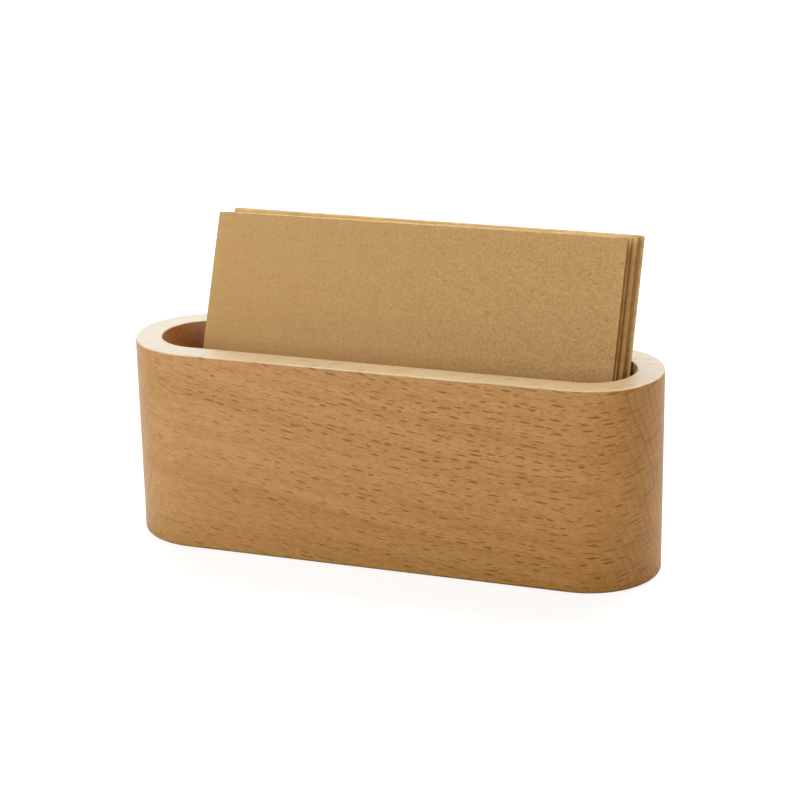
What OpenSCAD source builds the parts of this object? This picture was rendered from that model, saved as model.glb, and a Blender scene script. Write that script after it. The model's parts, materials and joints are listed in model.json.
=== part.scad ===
// Desk card case: a solid beech block with full-round ends and a routed pocket,
// with a stack of kraft cards that leans back in the pocket.
// Millimetres, +Z up, +X along the block, front face towards -Y.
// The origin is the middle of the block's underside.

/* [Block] */
// Depth of the block, front to back; its ends are full rounds of half this
holder_depth = 30.5; // [28.5:0.5:40]
// Height of the block, from its underside to the rim
holder_height = 43; // [36:0.5:50]
// Radius of the eased edges along the rim, outside and inside
rim_ease = 0.3; // [0.2:0.1:1.5]
// Radius of the eased edge round the underside
base_ease = 0.6; // [0.2:0.1:1.5]

/* [Pocket] */
// Room between a centred card and each end of the pocket
end_room = 6.4; // [5:0.1:12]
// Thickness of the wall round the pocket
wall = 5.6; // [4:0.1:6]
// Thickness of wood below the pocket
floor_thickness = 17; // [6:0.5:22]

/* [Cards] */
// Number of cards in the stack
card_count = 8; // [4:1:9]
// Width of a card
card_width = 90; // [70:0.5:110]
// Height of a card
card_height = 54; // [48:0.5:60]
// Thickness of a card
card_thickness = 0.33; // [0.25:0.01:0.4]
// Air between two neighbouring cards
card_gap = 0.05; // [0.03:0.01:0.08]

/* [Stack] */
// Sideways place of the front card, right of the middle
card_offset = 1.2; // [0:0.1:2]
// How far the stack fans out to the right of its front card
fan_width = 2.9; // [0:0.1:3]
// Clearance between the stack's foot and the pocket's curved end
foot_clearance = 0.2; // [0.1:0.05:0.5]
// Clearance between the stack's back and the pocket's curved end at the rim
lean_clearance = 0.25; // [0.1:0.05:0.6]
// Clearance between a card's lower edge and the pocket's floor
seat_clearance = 0.05; // [0.03:0.01:0.1]

/* [Hidden] */
$fn = 96;
over = 1;
half_depth = holder_depth / 2;
// The pocket is as long as a card and its end room, and the block as long as that and its walls
pocket_length = card_width + 2 * end_room;
holder_length = pocket_length + 2 * wall;
// Distance from the middle to the centre of each round end
end_x = holder_length / 2 - half_depth;
// Half width of the pocket, and the radius of its round ends
pocket_radius = half_depth - wall;
pocket_depth = holder_height - floor_thickness;

// Half width of the pocket at a place x along the block
function pocket_half(x) = sqrt(pow(pocket_radius, 2) - pow(max(0, abs(x) - end_x), 2));

// Sideways place of card i: two single cards, then two groups that stick out in steps
function fan_share(k) =
  lookup(k, [[0, 0], [0.14, 0.19], [0.29, 0.62], [0.57, 0.54], [0.71, 1], [1, 0.78]]);
function card_x(i) = card_offset + fan_width * fan_share(i / max(1, card_count - 1));

// Thickness of the whole stack, square to the cards
card_pitch = card_thickness + card_gap;
stack_thickness = card_count * card_pitch - card_gap;

// Half width of the pocket where card i's right edge stands
function edge_half(i) = pocket_half(card_x(i) + card_width / 2);

// The foremost place of the stack's foot, and the rearmost place of its back at the rim,
// at which every card clears the pocket's curved end
foot_y = foot_clearance - min([for (i = [0 : card_count - 1]) edge_half(i) + i * card_pitch]);
rim_y = min([for (i = [0 : card_count - 1]) edge_half(i) + (card_count - 1 - i) * card_pitch])
  - lean_clearance;
// The stack leans back from the one to the other
lean_run = rim_y - foot_y;
lean = acos(stack_thickness / norm([lean_run, pocket_depth])) - atan2(pocket_depth, lean_run);

// Place of card i's lower back edge, the edge that it stands on
function card_y(i) = foot_y + (i * card_pitch + card_thickness) / cos(lean);

// What is cut off a square corner at the origin to round it to radius r
module corner_cut(r) {
  difference() {
    translate([-over, -over]) square(r + over);
    translate([r, r]) circle(r);
  }
}

// Half section of the block, from its middle plane out to the outer wall
module half_section() {
  difference() {
    square([half_depth, holder_height]);
    translate([-over, floor_thickness]) square([pocket_radius + over, pocket_depth + over]);
    translate([half_depth, 0]) mirror([1, 0]) corner_cut(base_ease);
    translate([half_depth, holder_height]) mirror([1, 0]) mirror([0, 1]) corner_cut(rim_ease);
    translate([pocket_radius, holder_height]) mirror([0, 1]) corner_cut(rim_ease);
  }
}

// One round end, for x > 0
module round_end() {
  translate([end_x, 0, 0]) rotate([0, 0, -90]) rotate_extrude(angle = 180) half_section();
}

// The straight length between the two ends
module straight_length() {
  translate([-end_x, 0, 0]) rotate([90, 0, 90]) linear_extrude(2 * end_x)
    union() {
      half_section();
      mirror([1, 0]) half_section();
    }
}

// The beech block
module holder_body() {
  color([0.70, 0.51, 0.32])
    union() {
      straight_length();
      round_end();
      mirror([1, 0, 0]) round_end();
    }
}

// Card i of the stack, counted from 0 at the front
module card(i) {
  color([0.72, 0.57, 0.38])
    translate([card_x(i), card_y(i), floor_thickness + seat_clearance])
      rotate([-lean, 0, 0])
        translate([-card_width / 2, -card_thickness, 0])
          cube([card_width, card_thickness, card_height]);
}

holder_body();
for (i = [1 : card_count]) card(i - 1);
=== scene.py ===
"""Dresses a packed desk card case: an oiled beech block with a leaning stack of kraft cards."""
import json
import math
from collections import namedtuple

import bmesh
import bpy
from mathutils import Matrix, Vector


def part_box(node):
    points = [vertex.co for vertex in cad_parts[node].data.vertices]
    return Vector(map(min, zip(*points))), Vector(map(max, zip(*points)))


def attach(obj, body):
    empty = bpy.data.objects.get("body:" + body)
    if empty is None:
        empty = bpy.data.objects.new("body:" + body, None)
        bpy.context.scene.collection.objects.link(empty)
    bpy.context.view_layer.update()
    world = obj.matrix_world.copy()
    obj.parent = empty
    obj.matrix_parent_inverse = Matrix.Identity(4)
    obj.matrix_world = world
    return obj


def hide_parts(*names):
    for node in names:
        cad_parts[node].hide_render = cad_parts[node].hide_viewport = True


bl_info = {
    "name": "Desk Card Case",
    "version": (1, 0, 0),
    "blender": (4, 5, 0),
    "location": "View3D > Sidebar > Card Case",
    "description": "Builds the looks of a beech card case and its kraft cards round a packed model",
    "category": "Object",
}

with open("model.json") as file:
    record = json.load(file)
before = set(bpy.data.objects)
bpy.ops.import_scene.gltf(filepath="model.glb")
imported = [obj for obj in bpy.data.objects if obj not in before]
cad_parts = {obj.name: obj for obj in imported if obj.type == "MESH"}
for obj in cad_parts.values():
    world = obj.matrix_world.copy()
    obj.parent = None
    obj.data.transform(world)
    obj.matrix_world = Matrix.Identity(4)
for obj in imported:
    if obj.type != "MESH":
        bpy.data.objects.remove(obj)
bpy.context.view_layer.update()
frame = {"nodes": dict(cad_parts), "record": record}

BLOCK_NODE = "holder_body"
CARD_NODES = sorted(
    (name for name in frame["nodes"] if name.startswith("card_")),
    key=lambda name: int(name.split("_")[1]),
)
JOINT_OF_BODY = {joint["child"]: joint for joint in frame["record"]["behaviour"]["joints"]}
BODY_OF_NODE = {
    node: body
    for body, nodes in frame["record"]["behaviour"]["bodies"].items()
    for node in nodes
}
MM = 0.001
# Half the length, in millimetres, over which a look changes from left to right
SIDE_REACH = 45.0
# Painted on the meshes: above nought an edge gets scuffing, painted highlight and painted light, below
# nought painted shade
EDGE_MASK = "edge_mask"
# Painted on the block: where the pocket gets its painted bounce light
POCKET_MASK = "pocket_mask"


# Settings

class BlockSettings(bpy.types.PropertyGroup):
    """Sizes and finish of the beech block"""

    wall: bpy.props.FloatProperty(
        name="Wall", description="Thickness of the wall round the pocket",
        default=5.6 * MM, min=0.003, max=0.01, subtype="DISTANCE", unit="LENGTH", precision=5,
    )
    floor_thickness: bpy.props.FloatProperty(
        name="Floor", description="Thickness of wood below the pocket",
        default=17 * MM, min=0.005, max=0.025, subtype="DISTANCE", unit="LENGTH", precision=5,
    )
    rim_ease: bpy.props.FloatProperty(
        name="Rim ease", description="Radius of the sanded edges along the rim",
        default=0.3 * MM, min=0.0001, max=0.002, subtype="DISTANCE", unit="LENGTH", precision=5,
    )
    base_ease: bpy.props.FloatProperty(
        name="Base ease", description="Radius of the sanded edge round the underside",
        default=0.6 * MM, min=0.0001, max=0.002, subtype="DISTANCE", unit="LENGTH", precision=5,
    )
    early_wood: bpy.props.FloatVectorProperty(
        name="Early wood", description="Colour of the pale wood in each growth ring",
        default=(0.454, 0.240, 0.079), size=3, min=0, max=1, subtype="COLOR",
    )
    late_wood: bpy.props.FloatVectorProperty(
        name="Late wood", description="Colour of the darker wood that ends each growth ring",
        default=(0.318, 0.1435, 0.0165), size=3, min=0, max=1, subtype="COLOR",
    )
    ray: bpy.props.FloatVectorProperty(
        name="Rays", description="Colour of the short dark flecks",
        default=(0.222, 0.078, 0.0), size=3, min=0, max=1, subtype="COLOR",
    )
    # The flat faces, the rim's top above all, lean to this colour: partly the silvery look of faces
    # cut along the rays, partly a painted sheen
    silver_and_sheen: bpy.props.FloatVectorProperty(
        name="Silver face", description="Colour of the faces that are cut along the rays",
        default=(0.412, 0.337, 0.202), size=3, min=0, max=1, subtype="COLOR",
    )
    # Painted bounce light: the reddish light that the pocket's walls throw on each other
    pocket_bounce_colour: bpy.props.FloatVectorProperty(
        name="Routed wood", description="Colour that the routed pocket leans to",
        default=(0.50, 0.245, 0.13), size=3, min=0, max=1, subtype="COLOR",
    )
    # Scuffed pale, and a painted highlight along the rim's rounded edges
    worn_and_lit_wood: bpy.props.FloatVectorProperty(
        name="Rubbed wood", description="Colour of the rubbed edges along the rim",
        default=(0.66, 0.56, 0.38), size=3, min=0, max=1, subtype="COLOR",
    )
    # Painted contact shadow on the round at the underside
    base_shade_colour: bpy.props.FloatVectorProperty(
        name="Soiled wood", description="Colour of the soiled edge round the underside",
        default=(0.12, 0.055, 0.020), size=3, min=0, max=1, subtype="COLOR",
    )
    ring_width: bpy.props.FloatProperty(
        name="Ring width", description="Mean width of a growth ring",
        default=1.45 * MM, min=0.0005, max=0.006, subtype="DISTANCE", unit="LENGTH", precision=5,
    )
    ring_tilt: bpy.props.FloatProperty(
        name="Ring tilt", description="Angle of the rings' radial direction above the horizontal",
        default=math.radians(18), min=-1.6, max=1.6, subtype="ANGLE", unit="ROTATION",
    )


class CardSettings(bpy.types.PropertyGroup):
    """Sizes and finish of the kraft cards"""

    edge_round: bpy.props.FloatProperty(
        name="Edge round", description="Radius of a card's cut edges",
        default=0.13 * MM, min=0.00001, max=0.0002, subtype="DISTANCE", unit="LENGTH", precision=5,
    )
    front_curl: bpy.props.FloatProperty(
        name="Front curl", description="How far the front card's right edge curls forward",
        default=0.52 * MM, min=0, max=0.001, subtype="DISTANCE", unit="LENGTH", precision=5,
    )
    # Scuffed pale, and a painted highlight, on the tops of the cards behind the front one
    top_wear_and_light: bpy.props.FloatProperty(
        name="Top wear", description="How pale the rubbed top edges are behind the front card",
        default=1.2, min=0, max=2, subtype="FACTOR",
    )
    front_trim: bpy.props.FloatProperty(
        name="Front trim", description="How much lower the front card's left end is cut",
        default=0.35 * MM, min=0, max=0.001, subtype="DISTANCE", unit="LENGTH", precision=5,
    )
    paper: bpy.props.FloatVectorProperty(
        name="Paper", description="Main colour of the kraft board",
        default=(0.480, 0.302, 0.126), size=3, min=0, max=1, subtype="COLOR",
    )
    # Also the colour of the painted shadow on the parts of the cards behind the front one that stick
    # out
    dark_fibre: bpy.props.FloatVectorProperty(
        name="Dark fibres", description="Colour of the dark fibres in the board",
        default=(0.315, 0.168, 0.052), size=3, min=0, max=1, subtype="COLOR",
    )
    # Also the colour of the scuffed edges with their painted highlight, and of the painted light on
    # the parts that stick out at the right
    pale_fibre: bpy.props.FloatVectorProperty(
        name="Pale fibres", description="Colour of the pale fibres and of the rubbed edges",
        default=(0.640, 0.465, 0.240), size=3, min=0, max=1, subtype="COLOR",
    )


class StageSettings(bpy.types.PropertyGroup):
    """Camera and light"""

    azimuth: bpy.props.FloatProperty(
        name="Azimuth", description="Camera's angle to the right of the front",
        default=math.radians(19.326), subtype="ANGLE", unit="ROTATION",
    )
    elevation: bpy.props.FloatProperty(
        name="Elevation", description="Camera's angle above the horizon",
        default=math.radians(18.948), subtype="ANGLE", unit="ROTATION",
    )
    roll: bpy.props.FloatProperty(
        name="Roll", description="Camera's turn about its own line of sight",
        default=math.radians(-1.036), subtype="ANGLE", unit="ROTATION",
    )
    distance: bpy.props.FloatProperty(
        name="Distance", description="Camera's distance from its aim",
        default=0.468063, min=0.1, max=5, subtype="DISTANCE", unit="LENGTH",
    )
    aim: bpy.props.FloatVectorProperty(
        name="Aim", description="Point that the camera looks at",
        default=(0.001322, 0, 0.032209), size=3, subtype="TRANSLATION", unit="LENGTH",
    )
    focal_length: bpy.props.FloatProperty(
        name="Focal length", description="Camera's focal length on a 36 mm sensor",
        default=101.113, min=10, max=500, unit="CAMERA",
    )
    ambient: bpy.props.FloatProperty(
        name="Ambient", description="Strength of the light from all round",
        default=0.19, min=0, max=2, subtype="FACTOR",
    )


# Node wiring

class Wiring:
    """Adds shader nodes to one tree and joins them"""

    def __init__(self, tree):
        self.tree = tree

    def add(self, kind, inputs=None, **settings):
        """A new node with its settings, and a value or a socket for each named input"""
        node = self.tree.nodes.new(kind)
        node.location = (200 * (len(self.tree.nodes) % 12), -260 * (len(self.tree.nodes) // 12))
        for name, value in settings.items():
            setattr(node, name, value)
        for key, value in (inputs or {}).items():
            self.feed(node.inputs[key], value)
        return node

    def feed(self, socket, value):
        """Links a socket to an input, or sets the input to a plain value"""
        if isinstance(value, bpy.types.NodeSocket):
            self.tree.links.new(value, socket)
        else:
            socket.default_value = value

    def math(self, operation, *values):
        node = self.add("ShaderNodeMath", operation=operation)
        for socket, value in zip(node.inputs, values):
            self.feed(socket, value)
        return node.outputs[0]

    def total(self, *values):
        result = values[0]
        for value in values[1:]:
            result = self.math("ADD", result, value)
        return result

    def product(self, *values):
        result = values[0]
        for value in values[1:]:
            result = self.math("MULTIPLY", result, value)
        return result

    def swing(self, noise, weight):
        """How far a noise lies from its middle, times a weight"""
        return self.math("MULTIPLY", self.math("SUBTRACT", noise, 0.5), weight)

    def step(self, value, low, high, start=0.0, end=1.0, smooth=True):
        """start below low, end above high, and an even change between them"""
        kind = "SMOOTHSTEP" if smooth else "LINEAR"
        node = self.add("ShaderNodeMapRange", interpolation_type=kind)
        for socket, item in zip(node.inputs, (value, low, high, start, end)):
            self.feed(socket, item)
        return node.outputs[0]

    def combine(self, x=0.0, y=0.0, z=0.0):
        return self.add("ShaderNodeCombineXYZ", {0: x, 1: y, 2: z}).outputs[0]

    def separate(self, vector):
        return self.add("ShaderNodeSeparateXYZ", {0: vector}).outputs

    def noise(self, vector, scale=1.0, detail=2.0, roughness=0.5):
        inputs = {"Vector": vector, "Scale": scale, "Detail": detail, "Roughness": roughness}
        return self.add("ShaderNodeTexNoise", inputs).outputs[0]

    def mix(self, factor, first, second, blend="MIX"):
        node = self.add("ShaderNodeMix", data_type="RGBA", blend_type=blend)
        for index, value in zip((0, 6, 7), (factor, first, second)):
            self.feed(node.inputs[index], value)
        return node.outputs[2]

    def object_millimetres(self):
        """Place on the piece, in millimetres"""
        place = self.add("ShaderNodeTexCoord").outputs["Object"]
        node = self.add("ShaderNodeVectorMath", {0: place, "Scale": 1 / MM}, operation="SCALE")
        return node.outputs[0]


SOCKETS = {"float": "NodeSocketFloat", "colour": "NodeSocketColor", "vector": "NodeSocketVector"}


def new_group(name, inputs, outputs):
    """A shader node group with its sockets, as (wiring, input sockets, output node)"""
    tree = bpy.data.node_groups.new(name, "ShaderNodeTree")
    for title, kind in inputs:
        tree.interface.new_socket(name=title, in_out="INPUT", socket_type=SOCKETS[kind])
    for title, kind in outputs:
        tree.interface.new_socket(name=title, in_out="OUTPUT", socket_type=SOCKETS[kind])
    wiring = Wiring(tree)
    entry = wiring.add("NodeGroupInput")
    leave = wiring.add("NodeGroupOutput")
    return wiring, entry.outputs, leave


def opaque(colour):
    return (*colour, 1.0)


# Shared effect: patchy edges, for scuffing, painted highlight and painted shade

def patchy_edge_group():
    """Breaks an edge mask up, so that an edge's scuffing, painted highlight and painted shade come and
    go in patches
    """
    name = "Patchy Edge"
    if name in bpy.data.node_groups:
        return bpy.data.node_groups[name]
    wiring, given, leave = new_group(
        name,
        [("Edge", "float"), ("Place", "vector"), ("Patch Size", "float"), ("Amount", "float")],
        [("Mask", "float")],
    )
    spread = wiring.math("DIVIDE", 1.0, given["Patch Size"])
    patches = wiring.noise(given["Place"], spread, 3.0, 0.6)
    in_patch = wiring.step(patches, 0.30, 0.70, 0.35, 1.0)
    wiring.feed(leave.inputs["Mask"], wiring.product(given["Edge"], in_patch, given["Amount"]))
    return wiring.tree


# Beech

# Sizes in millimetres of the flecks where rays meet a face, and of the cells they lie in
Flecks = namedtuple("Flecks", "cell_length cell_height half_length half_height seed")
LARGE_FLECKS = Flecks(cell_length=3.4, cell_height=1.42, half_length=1.2, half_height=0.178, seed=3.1)
SMALL_FLECKS = Flecks(cell_length=1.9, cell_height=0.8, half_length=0.5, half_height=0.09, seed=11.4)
SMALL_FLECK_DEPTH = 0.55
# Where, within a growth ring, the late wood sets in and the line at its end comes and goes
LATE_WOOD_SPAN = (0.25, 0.97)
LATE_WOOD_DEPTH = 0.40
LINE_COMES = (0.83, 0.91)
LINE_GOES = (0.95, 1.0)
# How much each noise swings the shade, and the shades of all early and of all late wood
TONE_WEIGHT = 1.3
BAND_WEIGHT = 2.4
FIBRE_WEIGHT = 2.6
PORE_WEIGHT = 2.6
SHADE_SPAN = (-0.8, 1.2)
# What the colour is multiplied by where a face cuts across the grain, and, as painted bounce light, in
# the pocket
END_GRAIN_GAIN = (0.99, 0.96, 0.64, 1.0)
POCKET_BOUNCE_GAIN = (1.5, 1.5, 3.3, 1.0)
# How strongly the pocket shows its painted bounce light at its left and its right end, the weaker
# right end being painted shade, and how far it leans to the bounce colour
POCKET_LIGHT_SHARES = (0.78, 0.1)
POCKET_BOUNCE_TINT = 0.6


def ray_layer(wiring, along, across, flecks):
    """Lens-shaped flecks, one to a cell, as a mask; along and across are in millimetres"""
    u = wiring.math("ADD", wiring.math("DIVIDE", along, flecks.cell_length), flecks.seed)
    v = wiring.math("ADD", wiring.math("DIVIDE", across, flecks.cell_height), flecks.seed * 1.7)
    cells = wiring.add(
        "ShaderNodeTexVoronoi",
        {"Vector": wiring.combine(u, v), "Scale": 1.0, "Randomness": 0.85},
        voronoi_dimensions="2D", feature="F1",
    )
    centre = wiring.separate(cells.outputs["Position"])
    chance = wiring.add("ShaderNodeSeparateColor", {0: cells.outputs["Color"]}).outputs
    longer = wiring.step(chance[0], 0, 1, 0.55, 1.45, smooth=False)
    higher = wiring.step(chance[1], 0, 1, 0.6, 1.4, smooth=False)
    length = wiring.product(longer, flecks.half_length / flecks.cell_length)
    height = wiring.product(higher, flecks.half_height / flecks.cell_height)
    du = wiring.math("DIVIDE", wiring.math("SUBTRACT", u, centre[0]), length)
    dv = wiring.math("DIVIDE", wiring.math("SUBTRACT", v, centre[1]), height)
    arch = wiring.math("SUBTRACT", 1.0, wiring.math("MULTIPLY", du, du))
    lens = wiring.math("SUBTRACT", arch, wiring.math("ABSOLUTE", dv))
    body = wiring.step(lens, 0.0, 0.3)
    depth = wiring.step(chance[2], 0.05, 0.6, 0.34, 1.14, smooth=False)
    return wiring.product(body, depth)


def beech_group():
    """Flat-sawn beech: growth rings, rays and fibre, worked out in the log's own directions, and a
    painted sheen on the flat faces
    """
    wiring, given, leave = new_group(
        "Beech Grain",
        [("Early Wood", "colour"), ("Late Wood", "colour"), ("Ray", "colour"),
         ("Silver And Sheen", "colour"), ("Ring Width", "float"), ("Ring Tilt", "float")],
        [("Color", "colour"), ("Roughness", "float"), ("Height", "float")],
    )
    x, y, z = wiring.separate(wiring.object_millimetres())

    # The grain runs along the block, dips to the right and flattens out past the middle
    dip, ease, turn, middle = 0.135, 0.055, 14.0, 6.0
    past = wiring.product(wiring.math("SUBTRACT", x, middle), 1 / turn)
    bend = wiring.math("LOGARITHM", wiring.math("COSH", past), math.e)
    lift = wiring.math("SUBTRACT", wiring.product(x, dip), wiring.product(bend, ease * turn))
    level = wiring.math("ADD", z, lift)
    sine = wiring.math("SINE", given["Ring Tilt"])
    cosine = wiring.math("COSINE", given["Ring Tilt"])
    radial = wiring.math("ADD", wiring.product(y, cosine), wiring.product(level, sine))
    tangent = wiring.math("SUBTRACT", wiring.product(level, cosine), wiring.product(y, sine))

    def grain_noise(along, outward, round_log, detail=2.0, roughness=0.5):
        """Noise with its own scale along the log, out from its heart and round it"""
        stretched = wiring.combine(wiring.product(x, along), wiring.product(radial, outward),
                                   wiring.product(tangent, round_log))
        return wiring.noise(stretched, 1.0, detail, roughness)

    # Slow waves in the grain, and the unevenness of single fibres
    log_place = wiring.combine(wiring.product(x, 0.2), radial, tangent)
    sway = wiring.math("SUBTRACT", wiring.noise(log_place, 0.055, 1.0), 0.5)
    fibre_place = wiring.combine(wiring.product(x, 0.10), radial, tangent)
    ragged = wiring.math("SUBTRACT", wiring.noise(fibre_place, 1.6, 2.0, 0.6), 0.5)

    # Growth rings: pale at first, darker later, with a thin line where the next one starts
    ring_place = wiring.total(radial, wiring.product(sway, 5.0), wiring.product(ragged, 0.35))
    rings = wiring.math("DIVIDE", ring_place, given["Ring Width"])
    within = wiring.math("FRACT", rings)
    number = wiring.math("FLOOR", rings)
    strength = wiring.add("ShaderNodeTexWhiteNoise", {"W": number}, noise_dimensions="1D").outputs[0]
    vary = wiring.step(strength, 0, 1, 0.4, 1.1, smooth=False)
    late = wiring.product(wiring.step(within, *LATE_WOOD_SPAN, 0.0, LATE_WOOD_DEPTH), vary)
    line = wiring.product(wiring.step(within, *LINE_COMES),
                          wiring.step(within, *LINE_GOES, 1.0, 0.0), vary)

    # Rays: thin sheets that run in along the radius, so each face shows its own cut of them
    wander = wiring.math("ADD", tangent, wiring.product(ragged, 0.12))
    large = ray_layer(wiring, x, wander, LARGE_FLECKS)
    small = ray_layer(wiring, x, wander, SMALL_FLECKS)
    rays = wiring.math("MAXIMUM", large, wiring.product(small, SMALL_FLECK_DEPTH))

    # They gather in rows, and show more to the right and towards the rim
    rows = grain_noise(0.025, 0.1, 0.5)
    rays = wiring.product(rays, wiring.step(rows, 0.35, 0.65, 0.6, 1.35),
                          wiring.step(x, -55.0, 15.0, 0.39, 1.1, smooth=False),
                          wiring.step(z, 6.0, 36.0, 0.82, 1.1, smooth=False))

    # Faces cut along the rays show them fainter; faces cut across the grain soak up more oil
    facing = wiring.separate(wiring.add("ShaderNodeTexCoord").outputs["Normal"])
    along_rays = wiring.math("ABSOLUTE", facing[2])
    soak = wiring.product(facing[0], facing[0])
    rays = wiring.product(rays, wiring.step(along_rays, 0.4, 0.95, 1.0, 0.25))

    # Faces that lie along the rings show them as faint broad bands
    outward = wiring.total(wiring.product(facing[1], cosine), wiring.product(facing[2], sine))
    along_rings = wiring.math("ABSOLUTE", outward)
    late = wiring.product(late, wiring.step(along_rings, 0.35, 0.95, 1.0, 0.45))
    line = wiring.product(line, wiring.step(along_rings, 0.55, 0.97, 0.78, 0.08),
                          wiring.step(along_rays, 0.7, 0.98, 1.0, 0.3))
    dark = wiring.math("MAXIMUM", rays, line)

    # Broad tone, long bands, fine fibre and pores, the end grain a little darker, and a little painted
    # shade towards the bottom
    tone = grain_noise(0.012, 0.11, 0.06)
    band = grain_noise(0.012, 0.25, 0.33, roughness=0.6)
    fibre = grain_noise(0.35, 2.2, 2.2, detail=4.0, roughness=0.75)
    pore = grain_noise(0.75, 2.4, 2.4, roughness=0.6)
    shade = wiring.total(late, wiring.swing(tone, TONE_WEIGHT), wiring.swing(band, BAND_WEIGHT),
                         wiring.swing(fibre, FIBRE_WEIGHT), wiring.swing(pore, PORE_WEIGHT),
                         wiring.product(soak, 0.08), wiring.step(z, 0.0, 16.0, 0.04, 0.0))
    aged = wiring.step(shade, *SHADE_SPAN, smooth=False)
    wood = wiring.mix(aged, given["Early Wood"], given["Late Wood"])
    wood = wiring.mix(soak, wood, END_GRAIN_GAIN, "MULTIPLY")
    # Flat faces, the rim's top above all, are painted paler in streaks: partly the silvery look of
    # faces cut along the rays, partly a painted sheen
    streak = wiring.step(grain_noise(0.07, 2.6, 2.6, roughness=0.6), 0.3, 0.7, 0.45, 0.85)
    silver_and_sheen_share = wiring.product(wiring.step(along_rays, 0.7, 0.98), streak)
    wood = wiring.mix(silver_and_sheen_share, wood, given["Silver And Sheen"])
    wiring.feed(leave.inputs["Color"], wiring.mix(dark, wood, given["Ray"]))

    # The oil shines on the rays and dulls on the fibre, and the rays lie a little low
    satin = wiring.total(0.43, wiring.swing(fibre, 0.16), wiring.product(rays, -0.06))
    wiring.feed(leave.inputs["Roughness"], satin)
    relief = wiring.total(wiring.product(fibre, 0.4), wiring.product(pore, 0.5),
                          wiring.product(rays, -0.3))
    wiring.feed(leave.inputs["Height"], relief)
    return wiring.tree


def painted_mask(wiring, name):
    return wiring.add("ShaderNodeAttribute", attribute_name=name).outputs["Fac"]


def edge_masks(wiring):
    """The painted edge mask above nought, with its scuffing and painted highlight, and what of it lies
    below, which is painted shade
    """
    mask = painted_mask(wiring, EDGE_MASK)
    below = wiring.math("MAXIMUM", wiring.product(mask, -1.0), 0.0)
    return wiring.math("MAXIMUM", mask, 0.0), below


def add_patchy_edge(wiring, edge, patch_size, amount):
    """Places the shared effect in a material; the patches are measured in millimetres"""
    inputs = {
        "Edge": edge,
        "Place": wiring.object_millimetres(),
        "Patch Size": patch_size,
        "Amount": amount,
    }
    return wiring.add("ShaderNodeGroup", inputs, node_tree=patchy_edge_group()).outputs["Mask"]


def new_material(name):
    """An empty material, as (material, wiring, Principled BSDF)"""
    material = bpy.data.materials.new(name)
    material.use_nodes = True
    shader = material.node_tree.nodes["Principled BSDF"]
    return material, Wiring(material.node_tree), shader


def add_bump(wiring, shader, height, strength, distance):
    bump = wiring.add("ShaderNodeBump", {"Strength": strength, "Distance": distance, "Height": height})
    wiring.feed(shader.inputs["Normal"], bump.outputs["Normal"])


def oiled_beech(settings):
    """Satin oil on beech, with painted bounce light in the pocket, scuffed pale rounds with a painted
    highlight along the rim, and a painted contact shadow round the base
    """
    material, wiring, shader = new_material("oiled_beech")
    inputs = {
        "Early Wood": opaque(settings.early_wood),
        "Late Wood": opaque(settings.late_wood),
        "Ray": opaque(settings.ray),
        "Silver And Sheen": opaque(settings.silver_and_sheen),
        "Ring Width": settings.ring_width / MM,
        "Ring Tilt": settings.ring_tilt,
    }
    grain = wiring.add("ShaderNodeGroup", inputs, node_tree=beech_group()).outputs
    # Painted bounce light in the pocket, fading to painted shade towards its right end
    x = wiring.separate(wiring.object_millimetres())[0]
    pocket_light_fade = wiring.step(x, -SIDE_REACH, SIDE_REACH, *POCKET_LIGHT_SHARES, smooth=False)
    pocket_bounce = wiring.product(painted_mask(wiring, POCKET_MASK), pocket_light_fade)
    # The rim's rounds are scuffed pale with a painted highlight; the base's round gets a painted
    # contact shadow
    above, below = edge_masks(wiring)
    worn_and_lit = add_patchy_edge(wiring, above, patch_size=6.0, amount=0.9)
    base_shade = add_patchy_edge(wiring, below, patch_size=9.0, amount=0.9)
    colour = wiring.mix(pocket_bounce, grain["Color"], POCKET_BOUNCE_GAIN, "MULTIPLY")
    colour = wiring.mix(wiring.product(pocket_bounce, POCKET_BOUNCE_TINT), colour, opaque(settings.pocket_bounce_colour))
    colour = wiring.mix(worn_and_lit, colour, opaque(settings.worn_and_lit_wood))
    colour = wiring.mix(base_shade, colour, opaque(settings.base_shade_colour))
    wiring.feed(shader.inputs["Base Color"], colour)
    wiring.feed(shader.inputs["Roughness"], grain["Roughness"])
    shader.inputs["Coat Weight"].default_value = 0.18
    shader.inputs["Coat Roughness"].default_value = 0.32
    add_bump(wiring, shader, grain["Height"], strength=0.6, distance=0.12 * MM)
    return material


# Kraft board

# Fibres: their angle in the card's plane, and the noise at which a stroke starts and is full
DARK_STROKES = ((0.3, 0.60, 0.74), (1.5, 0.60, 0.74), (2.4, 0.62, 0.76))
PALE_STROKES = ((0.9, 0.60, 0.75), (2.0, 0.60, 0.75))
# Noise scales along and across a stroke, for each millimetre
STROKE_ALONG = 1.1
STROKE_ACROSS = 4.2
# How far back a card leans for its height, near enough for the strokes
LEAN_SLOPE = 0.44
# How strongly mottle and fibres show at the left and the right edge of a card
BOARD_SHARES = (0.46, 1.09)


def fibre_strokes(wiring, place, strokes):
    """Short thin strokes at several angles in the card's plane, as one mask"""
    x, y, z = wiring.separate(place)
    up = wiring.total(z, wiring.product(y, LEAN_SLOPE))
    mask = 0.0
    for angle, start, full in strokes:
        cosine, sine = math.cos(angle), math.sin(angle)
        along = wiring.math("ADD", wiring.product(x, cosine), wiring.product(up, sine))
        across = wiring.math("SUBTRACT", wiring.product(up, cosine), wiring.product(x, sine))
        stretched = wiring.combine(wiring.product(along, STROKE_ALONG),
                                   wiring.product(across, STROKE_ACROSS), y)
        stroke = wiring.step(wiring.noise(stretched, 1.0, 1.0), start, full)
        mask = wiring.math("MAXIMUM", mask, stroke)
    return mask


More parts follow.
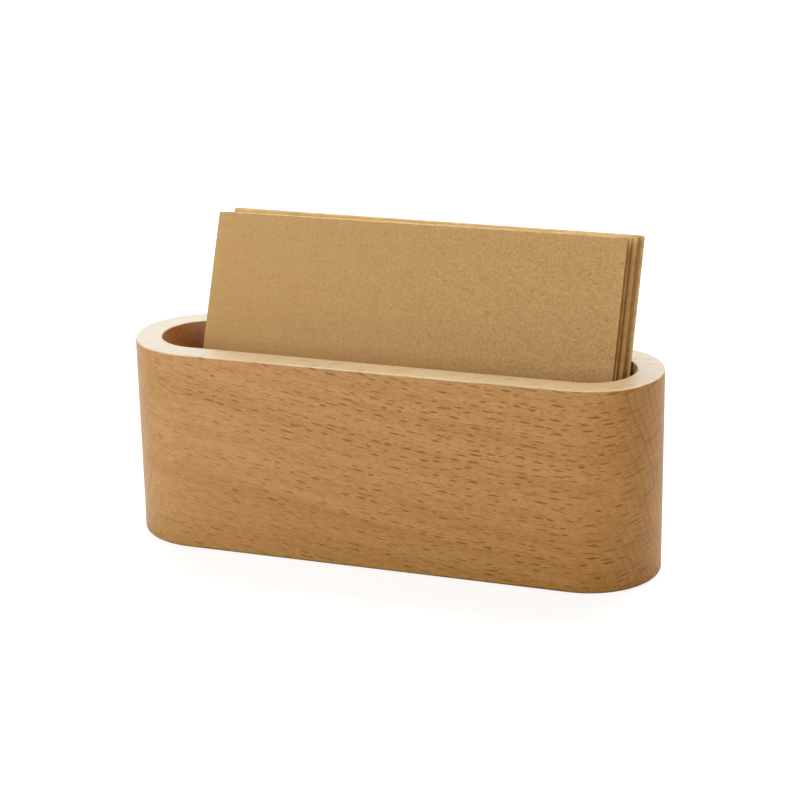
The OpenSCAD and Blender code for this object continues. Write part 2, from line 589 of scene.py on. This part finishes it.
def kraft_group():
    """Uncoated kraft board: mottle, single dark and pale fibres and a few specks"""
    wiring, given, leave = new_group(
        "Kraft Board",
        [("Paper", "colour"), ("Dark Fibre", "colour"), ("Pale Fibre", "colour")],
        [("Color", "colour"), ("Height", "float")],
    )
    place = wiring.object_millimetres()
    cloud = wiring.noise(place, 0.3, 2.0)
    mottle = wiring.noise(place, 1.9, 3.0, 0.65)
    dark = fibre_strokes(wiring, place, DARK_STROKES)
    pale = fibre_strokes(wiring, place, PALE_STROKES)
    specks = wiring.add("ShaderNodeTexVoronoi", {"Vector": place, "Scale": 0.45}, feature="F1")
    speck = wiring.step(specks.outputs["Distance"], 0.05, 0.11, 1.0, 0.0)

    x = wiring.separate(place)[0]
    uneven = wiring.step(x, -SIDE_REACH, SIDE_REACH, *BOARD_SHARES, smooth=False)
    shade = wiring.total(wiring.product(wiring.swing(mottle, 1.25), uneven), wiring.swing(cloud, 0.2))
    colour = wiring.mix(wiring.step(shade, 0.0, 0.4, 0.0, 0.7), given["Paper"], given["Dark Fibre"])
    colour = wiring.mix(wiring.step(shade, 0.0, -0.4, 0.0, 0.6), colour, given["Pale Fibre"])
    colour = wiring.mix(wiring.product(dark, uneven, 0.76), colour, given["Dark Fibre"])
    colour = wiring.mix(wiring.product(pale, uneven, 0.28), colour, given["Pale Fibre"])
    colour = wiring.mix(wiring.product(speck, 0.45), colour, given["Dark Fibre"])
    wiring.feed(leave.inputs["Color"], colour)
    relief = wiring.total(wiring.product(mottle, 0.7), wiring.product(dark, -0.3),
                          wiring.product(pale, 0.4))
    wiring.feed(leave.inputs["Height"], relief)
    return wiring.tree


def kraft_board(settings):
    """Uncoated kraft board with scuffed cut edges, a painted highlight on the tops behind the front
    card, and painted light and shadow on the parts that stick out at the right
    """
    material, wiring, shader = new_material("kraft_board")
    inputs = {
        "Paper": opaque(settings.paper),
        "Dark Fibre": opaque(settings.dark_fibre),
        "Pale Fibre": opaque(settings.pale_fibre),
    }
    board = wiring.add("ShaderNodeGroup", inputs, node_tree=kraft_group()).outputs
    # Above nought the edges get scuffing, painted highlight and painted light; below nought they get
    # the painted shadow of the cards in front
    above, below = edge_masks(wiring)
    worn_and_lit = add_patchy_edge(wiring, above, patch_size=2.0, amount=0.8)
    strip_shadow = add_patchy_edge(wiring, below, patch_size=4.0, amount=0.9)
    colour = wiring.mix(worn_and_lit, board["Color"], opaque(settings.pale_fibre))
    colour = wiring.mix(strip_shadow, colour, opaque(settings.dark_fibre))
    wiring.feed(shader.inputs["Base Color"], colour)
    shader.inputs["Roughness"].default_value = 0.88
    shader.inputs["Specular IOR Level"].default_value = 0.25
    add_bump(wiring, shader, board["Height"], strength=0.6, distance=0.03 * MM)
    return material


# Meshes

def finished_piece(name, mesh_builder, material, body, node):
    """Turns a bmesh into a smooth piece that rides on a body and stands for a CAD node"""
    mesh = bpy.data.meshes.new(name)
    mesh_builder.to_mesh(mesh)
    mesh_builder.free()
    mesh.polygons.foreach_set("use_smooth", [True] * len(mesh.polygons))
    mesh.materials.append(material)
    piece = bpy.data.objects.new(name, mesh)
    bpy.context.scene.collection.objects.link(piece)
    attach(piece, body)
    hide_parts(node)
    return piece


def stadium_stations(half_straight, straight_steps, arc_steps):
    """Points on the middle line of a stadium with their outward directions, front left first"""
    stations = []
    for i in range(straight_steps):
        stations.append((half_straight * (2 * i / straight_steps - 1), 0.0, -1.0))
    for j in range(arc_steps):
        angle = math.pi * (j / arc_steps - 0.5)
        stations.append((half_straight, math.cos(angle), math.sin(angle)))
    for i in range(straight_steps):
        stations.append((half_straight * (1 - 2 * i / straight_steps), 0.0, 1.0))
    for j in range(arc_steps):
        angle = math.pi * (j / arc_steps + 0.5)
        stations.append((-half_straight, math.cos(angle), math.sin(angle)))
    return stations


def quarter_round(steps):
    """A quarter circle in steps: what is gained on one axis, what is left on the other, the bend"""
    turns = [0.5 * math.pi * k / steps for k in range(steps + 1)]
    return [(1 - math.cos(a), 1 - math.sin(a), math.sin(2 * a)) for a in turns]


# Rows this close to a rounded edge keep the flat faces beside it flat
HOLD = 0.35 * MM
# How much scuffing and painted highlight the rim's inner edge gets, as a share of the outer one
INNER_EDGE_SHARE = 0.3


def block_profile(height, settings):
    """The block's section from its underside round to the pocket floor.

    Each row is (inset, height, the ease's part of the inset, the ease's part of the height,
    edge mask, pocket mask). The ease's parts vary round the block. The edge mask holds
    scuffing and painted highlight above nought and painted shade below it, and the pocket
    mask places the painted bounce light.
    """
    wall, floor = settings.wall, settings.floor_thickness
    base, rim = settings.base_ease, settings.rim_ease
    round_steps = 7
    rows = [(base + HOLD, 0.0, 0, 0, 0.0, 0.0)]
    # The base's round carries painted contact shadow, darkest where it meets the floor
    for gained, left, _ in quarter_round(round_steps):
        rows.append((base * left, base * gained, 0, 0, -math.sqrt(1 - gained), 0.0))
    rows.append((0.0, base + HOLD, 0, 0, 0.0, 0.0))
    for share in (0.25, 0.5, 0.75):
        rows.append((0.0, height * share, 0, 0, 0.0, 0.0))
    rows.append((0.0, height - rim - HOLD, 0, 0, 0.0, 0.0))
    # The rim's rounds are scuffed pale with a painted highlight, strongest across their middle; the
    # inner round also marks the pocket
    for gained, left, bend in quarter_round(round_steps):
        rows.append((rim * gained, height - rim * left, rim * gained, -rim * left, bend, 0.0))
    rows.append((rim + HOLD, height, 0, 0, 0.0, 0.0))
    rows.append((wall - rim - HOLD, height, 0, 0, 0.0, 0.0))
    for gained, left, bend in quarter_round(round_steps):
        rows.append((wall - rim * left, height - rim * gained, -rim * left, -rim * gained,
                     INNER_EDGE_SHARE * bend, gained))
    rows.append((wall, height - rim - HOLD, 0, 0, 0.0, 1.0))
    rows.append((wall, 0.5 * (height + floor), 0, 0, 0.0, 1.0))
    rows.append((wall, floor + HOLD, 0, 0, 0.0, 1.0))
    rows.append((wall, floor, 0, 0, 0.0, 1.0))
    rows.append((wall + HOLD, floor, 0, 0, 0.0, 1.0))
    return rows


def hand_sanding(x, y):
    """The share by which the sanded edges grow or shrink at a place round the block"""
    long_wave = 0.12 * math.sin(90 * x + 1.0)
    short_wave = 0.08 * math.sin(230 * x - 160 * y)
    return long_wave + short_wave - 0.10


def build_block(settings):
    """The block as rings of points, one ring for each row of its profile"""
    low, high = (Vector(corner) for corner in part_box(BLOCK_NODE))
    height = high.z - low.z
    radius = 0.5 * (high.y - low.y)
    half_straight = 0.5 * (high.x - low.x) - radius
    straight_steps, arc_steps = 40, 48
    stations = stadium_stations(half_straight, straight_steps, arc_steps)
    count = len(stations)

    builder = bmesh.new()
    mask_layer = builder.verts.layers.float.new(EDGE_MASK)
    pocket_layer = builder.verts.layers.float.new(POCKET_MASK)
    rings = []
    for inset, level, ease_inset, ease_level, mask, pocket in block_profile(height, settings):
        ring = []
        for centre_x, out_x, out_y in stations:
            vary = hand_sanding(centre_x + radius * out_x, radius * out_y)
            reach = radius - inset - ease_inset * vary
            rise = level + ease_level * vary
            vert = builder.verts.new((centre_x + out_x * reach, out_y * reach, rise))
            vert[mask_layer] = mask
            vert[pocket_layer] = pocket
            ring.append(vert)
        rings.append(ring)
    for lower, upper in zip(rings, rings[1:]):
        for k in range(count):
            n = (k + 1) % count
            builder.faces.new((lower[k], lower[n], upper[n], upper[k]))

    # Flat caps, as strips from the front half to the back half
    opposite = 2 * straight_steps + arc_steps
    for ring, turned in ((rings[0], True), (rings[-1], False)):
        for k in range(-arc_steps // 2, straight_steps + arc_steps // 2):
            corners = []
            for index in (k, k + 1, opposite - k - 1, opposite - k):
                vert = ring[index % count]
                if vert not in corners:
                    corners.append(vert)
            builder.faces.new(reversed(corners) if turned else corners)
    return builder


def card_place(node):
    """A card's own frame, read from its box and its lift joint: corner, up, back and sizes"""
    low, high = (Vector(corner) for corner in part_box(node))
    up = Vector(JOINT_OF_BODY[BODY_OF_NODE[node]]["axis"]).normalized()
    sine, cosine = up.y, up.z
    span = high - low
    spread = cosine * cosine - sine * sine
    tall = (cosine * span.z - sine * span.y) / spread
    thick = (cosine * span.y - sine * span.z) / spread
    back = Vector((0.0, cosine, -sine))
    corner = Vector((low.x, low.y, low.z + thick * sine))
    return corner, up, back, span.x, tall, thick


# The front cards curl most, and the first few are cut at a slant
CURL_POWER = 2.2
CURL_SHARES = (1.0, 0.76, 0.12, 0.10, 0.08, 0.03, 0.01)
TRIM_SHARES = (1.0, 1.25, 1.5, 1.7, 1.9)
# Painted light and shade on the strips that stick out at the right: above nought a share paints them
# paler, below nought it paints the shadow of the cards in front
STRIP_LIGHT_SHARES = (0.3, -1.4, -1.0, -1.0, -1.0, 1.2, 0.5, 0.3)
# The left and lower edges are hardly scuffed, and the front card's top gets little of the scuffing and
# painted highlight that the tops behind it get
SIDE_WEAR = 0.1
FRONT_TOP_SHARE = 0.05


def curl_share(x, right_edge):
    """How far a card's right end curls forward, from none at the middle to all at the edge"""
    return max(0.0, x / right_edge) ** CURL_POWER


def share_of(shares, order):
    return shares[order] if order < len(shares) else 0.0


def build_card(node, settings, curl, trim, wear_and_light, strip_light, right_edge):
    """A card as two sheets of points with a rounded cut edge between them"""
    corner, up, back, wide, tall, thick = card_place(node)
    across_steps, up_steps, round_steps = 40, 20, 4
    # The round stays just under half the card's thickness
    ease = min(settings.edge_round, 0.49 * thick)
    builder = bmesh.new()
    mask_layer = builder.verts.layers.float.new(EDGE_MASK)

    def vertex(a, b, depth, mask):
        forward = curl * curl_share(corner.x + a, right_edge)
        lower = trim * (b / tall) * (1 - a / wide)
        place = corner + Vector((a, -forward, 0)) + up * (b - lower) + back * depth
        vert = builder.verts.new(place)
        vert[mask_layer] = mask
        return vert

    def sheet(depth):
        rows = []
        for j in range(up_steps + 1):
            b = ease + (tall - 2 * ease) * j / up_steps
            row = []
            for i in range(across_steps + 1):
                # The right edge takes the painted light and shade of its card's exposed part, the top
                # edge its scuffing and painted highlight, the left and lower edges a little scuffing
                mask = strip_light if i == across_steps else SIDE_WEAR * (i == 0 or j == 0)
                mask = wear_and_light if j == up_steps else mask
                a = ease + (wide - 2 * ease) * i / across_steps
                row.append(vertex(a, b, depth, mask))
            rows.append(row)
        return rows

    front, rear = sheet(0.0), sheet(thick)
    for j in range(up_steps):
        for i in range(across_steps):
            builder.faces.new((front[j][i], front[j][i + 1], front[j + 1][i + 1], front[j + 1][i]))
            builder.faces.new((rear[j][i], rear[j + 1][i], rear[j + 1][i + 1], rear[j][i + 1]))

    # The rounded cut edge, ring by ring from the front sheet's rim to the rear sheet's
    rim = [(i, 0) for i in range(across_steps)]
    rim += [(across_steps, j) for j in range(up_steps)]
    rim += [(i, up_steps) for i in range(across_steps, 0, -1)]
    rim += [(0, j) for j in range(up_steps, 0, -1)]
    loops = [[front[j][i] for i, j in rim]]
    turns = [0.5 * math.pi * k / round_steps for k in range(1, round_steps + 1)]
    bends = [(math.sin(a), ease * (1 - math.cos(a))) for a in turns]
    bends += [(out, thick - depth) for out, depth in reversed(bends)]
    for out, depth in bends:
        loop = []
        for i, j in rim:
            side = (i == across_steps) - (i == 0)
            rise = (j == up_steps) - (j == 0)
            push = ease * out / math.hypot(side, rise)
            a = ease + (wide - 2 * ease) * i / across_steps + push * side
            b = ease + (tall - 2 * ease) * j / up_steps + push * rise
            loop.append(vertex(a, b, depth, strip_light if side > 0 and not rise else wear_and_light))
        loops.append(loop)
    loops.append([rear[j][i] for i, j in rim])
    for inner, outer in zip(loops, loops[1:]):
        for k in range(len(rim)):
            n = (k + 1) % len(rim)
            builder.faces.new((inner[n], inner[k], outer[k], outer[n]))
    return builder


# Stage

# The floor as the object sees it, and as the camera sees it: shaded, and lifted to white by a glow
FLOOR_COLOUR = (0.65, 0.63, 0.61, 1.0)
SHADED_COLOUR = (0.34, 0.34, 0.34, 1.0)
FLOOR_GLOW = 0.78
WHITE = (1.0, 1.0, 1.0, 1.0)
# The light from all round is a little warm
ROOM_TINT = (1.0, 0.82, 0.76, 1.0)
# Softboxes: place and size in metres, power in watts
Softbox = namedtuple("Softbox", "name place size watts colour")
SOFTBOXES = (
    Softbox("left_softbox", (-0.315, -0.45, 0.22), (0.36, 0.36), 2.62, (0.918, 0.968, 0.99)),
    Softbox("top_softbox", (-0.10, 0.55, 0.80), (1.0, 0.7), 16.2, (1.0, 0.965, 0.89)),
    Softbox("back_softbox", (-0.30, 1.0, 0.36), (1.4, 0.5), 4.8, (0.46, 0.72, 1.0)),
    Softbox("back_left_softbox", (-0.80, 0.70, 0.35), (0.8, 0.5), 1.5, (0.36, 0.66, 1.0)),
    Softbox("right_back_softbox", (0.90, 0.30, 0.25), (0.6, 0.4), 0.8, (1.0, 0.84, 0.30)),
    Softbox("right_softbox", (0.74, -0.48, 0.38), (0.6, 0.5), 2.05, (1.0, 0.78, 0.37)),
)
LAMP_AIM = (0.0, 0.0, 0.03)
SENSOR_WIDTH = 36.0


def make_floor():
    """A pale floor that reads as white and keeps a soft shadow"""
    half = 2.5
    drop = -0.02 * MM
    mesh = bpy.data.meshes.new("floor")
    corners = [(-half, -half, drop), (half, -half, drop), (half, half, drop), (-half, half, drop)]
    mesh.from_pydata(corners, [], [(0, 1, 2, 3)])
    floor = bpy.data.objects.new("floor", mesh)
    bpy.context.scene.collection.objects.link(floor)

    material = bpy.data.materials.new("pale_floor")
    material.use_nodes = True
    wiring = Wiring(material.node_tree)
    material.node_tree.nodes.remove(material.node_tree.nodes["Principled BSDF"])
    output = material.node_tree.nodes["Material Output"]
    seen = wiring.add("ShaderNodeLightPath").outputs["Is Camera Ray"]
    plain = wiring.add("ShaderNodeBsdfDiffuse", {"Color": FLOOR_COLOUR})
    shaded = wiring.add("ShaderNodeBsdfDiffuse", {"Color": SHADED_COLOUR})
    glow = wiring.add("ShaderNodeEmission", {"Color": WHITE, "Strength": FLOOR_GLOW})
    white = wiring.add("ShaderNodeAddShader", {0: shaded.outputs[0], 1: glow.outputs[0]})
    choose = wiring.add("ShaderNodeMixShader", {0: seen, 1: plain.outputs[0], 2: white.outputs[0]})
    wiring.feed(output.inputs["Surface"], choose.outputs[0])
    mesh.materials.append(material)


def make_world(scene, ambient):
    """White where the camera sees it, and a soft warm light on the object"""
    world = bpy.data.worlds.new("soft_room")
    world.use_nodes = True
    wiring = Wiring(world.node_tree)
    background = world.node_tree.nodes["Background"]
    seen = wiring.add("ShaderNodeLightPath").outputs["Is Camera Ray"]
    wiring.feed(background.inputs["Color"], wiring.mix(seen, ROOM_TINT, WHITE))
    wiring.feed(background.inputs["Strength"], wiring.step(seen, 0, 1, ambient, 1.0, smooth=False))
    scene.world = world


def make_lamps(scene):
    """The softboxes, all turned to the object"""
    for softbox in SOFTBOXES:
        lamp = bpy.data.lights.new(softbox.name, "AREA")
        lamp.shape = "RECTANGLE"
        lamp.size, lamp.size_y = softbox.size
        lamp.energy = softbox.watts
        lamp.color = softbox.colour
        holder = bpy.data.objects.new(softbox.name, lamp)
        holder.location = softbox.place
        beam = Vector(LAMP_AIM) - Vector(softbox.place)
        holder.rotation_euler = beam.to_track_quat("-Z", "Y").to_euler()
        scene.collection.objects.link(holder)


def make_camera(scene, settings):
    """The camera, on a sphere round its aim"""
    azimuth, elevation, roll = settings.azimuth, settings.elevation, settings.roll
    level = Vector((math.sin(azimuth), -math.cos(azimuth), 0.0))
    back = level * math.cos(elevation) + Vector((0.0, 0.0, math.sin(elevation)))
    right = Vector((math.cos(azimuth), math.sin(azimuth), 0.0))
    up = back.cross(right)
    turned_right = right * math.cos(roll) + up * math.sin(roll)
    turned_up = up * math.cos(roll) - right * math.sin(roll)
    lens = bpy.data.cameras.new("camera")
    lens.sensor_width = SENSOR_WIDTH
    lens.lens = settings.focal_length
    lens.clip_start = 0.01
    camera = bpy.data.objects.new("camera", lens)
    turn = Matrix((turned_right, turned_up, back)).transposed().to_4x4()
    camera.matrix_world = Matrix.Translation(Vector(settings.aim) + back * settings.distance) @ turn
    scene.collection.objects.link(camera)
    scene.camera = camera


# Operators

class CARDCASE_OT_block(bpy.types.Operator):
    """Make the oiled beech block with its pocket"""

    bl_idname = "card_case.block"
    bl_label = "Beech Block"

    def execute(self, context):
        if BLOCK_NODE not in frame["nodes"]:
            raise RuntimeError("The frame holds no block to dress")
        settings = context.scene.card_case_block
        builder = build_block(settings)
        finished_piece("beech_block", builder, oiled_beech(settings),
                       BODY_OF_NODE[BLOCK_NODE], BLOCK_NODE)
        return {"FINISHED"}


class CARDCASE_OT_cards(bpy.types.Operator):
    """Make the stack of kraft cards, each on its own body"""

    bl_idname = "card_case.cards"
    bl_label = "Kraft Cards"

    def execute(self, context):
        if not CARD_NODES:
            raise RuntimeError("The frame holds no cards to dress")
        settings = context.scene.card_case_cards
        material = kraft_board(settings)
        right_edge = max(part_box(node)[1][0] for node in CARD_NODES)
        for order, node in enumerate(CARD_NODES):
            curl = settings.front_curl * share_of(CURL_SHARES, order)
            trim = settings.front_trim * share_of(TRIM_SHARES, order)
            # The cards behind the front one get the top's scuffing and painted highlight in full, and
            # each its painted light and shade at the right
            wear_and_light = settings.top_wear_and_light if order else FRONT_TOP_SHARE * settings.top_wear_and_light
            strip_light = share_of(STRIP_LIGHT_SHARES, order)
            builder = build_card(node, settings, curl, trim, wear_and_light, strip_light, right_edge)
            finished_piece("kraft_" + node, builder, material,
                           BODY_OF_NODE[node], node)
        return {"FINISHED"}


class CARDCASE_OT_stage(bpy.types.Operator):
    """Make the floor, the light and the camera"""

    bl_idname = "card_case.stage"
    bl_label = "Stage"

    def execute(self, context):
        settings = context.scene.card_case_stage
        context.scene.view_settings.view_transform = "Standard"
        make_floor()
        make_world(context.scene, settings.ambient)
        make_lamps(context.scene)
        make_camera(context.scene, settings)
        return {"FINISHED"}


# Panel and registration

class CARDCASE_PT_panel(bpy.types.Panel):
    """Lists the pieces of the card case and their settings"""

    bl_idname = "CARDCASE_PT_panel"
    bl_label = "Card Case"
    bl_space_type = "VIEW_3D"
    bl_region_type = "UI"
    bl_category = "Card Case"

    def draw(self, context):
        for operator, group_name, group in PARTS:
            box = self.layout.box()
            box.operator(operator.bl_idname)
            settings = getattr(context.scene, group_name)
            for name in group.__annotations__:
                box.prop(settings, name)


# Each operator, the name of its settings on the scene, and their group
PARTS = (
    (CARDCASE_OT_block, "card_case_block", BlockSettings),
    (CARDCASE_OT_cards, "card_case_cards", CardSettings),
    (CARDCASE_OT_stage, "card_case_stage", StageSettings),
)


def register():
    for operator, group_name, group in PARTS:
        bpy.utils.register_class(group)
        bpy.utils.register_class(operator)
        setattr(bpy.types.Scene, group_name, bpy.props.PointerProperty(type=group))
    bpy.utils.register_class(CARDCASE_PT_panel)


def unregister():
    bpy.utils.unregister_class(CARDCASE_PT_panel)
    for operator, group_name, group in reversed(PARTS):
        delattr(bpy.types.Scene, group_name)
        bpy.utils.unregister_class(operator)
        bpy.utils.unregister_class(group)


def main():
    """Makes the pieces and the stage"""
    register()
    bpy.ops.card_case.block()
    bpy.ops.card_case.cards()
    bpy.ops.card_case.stage()


if __name__ == "__main__":
    main()
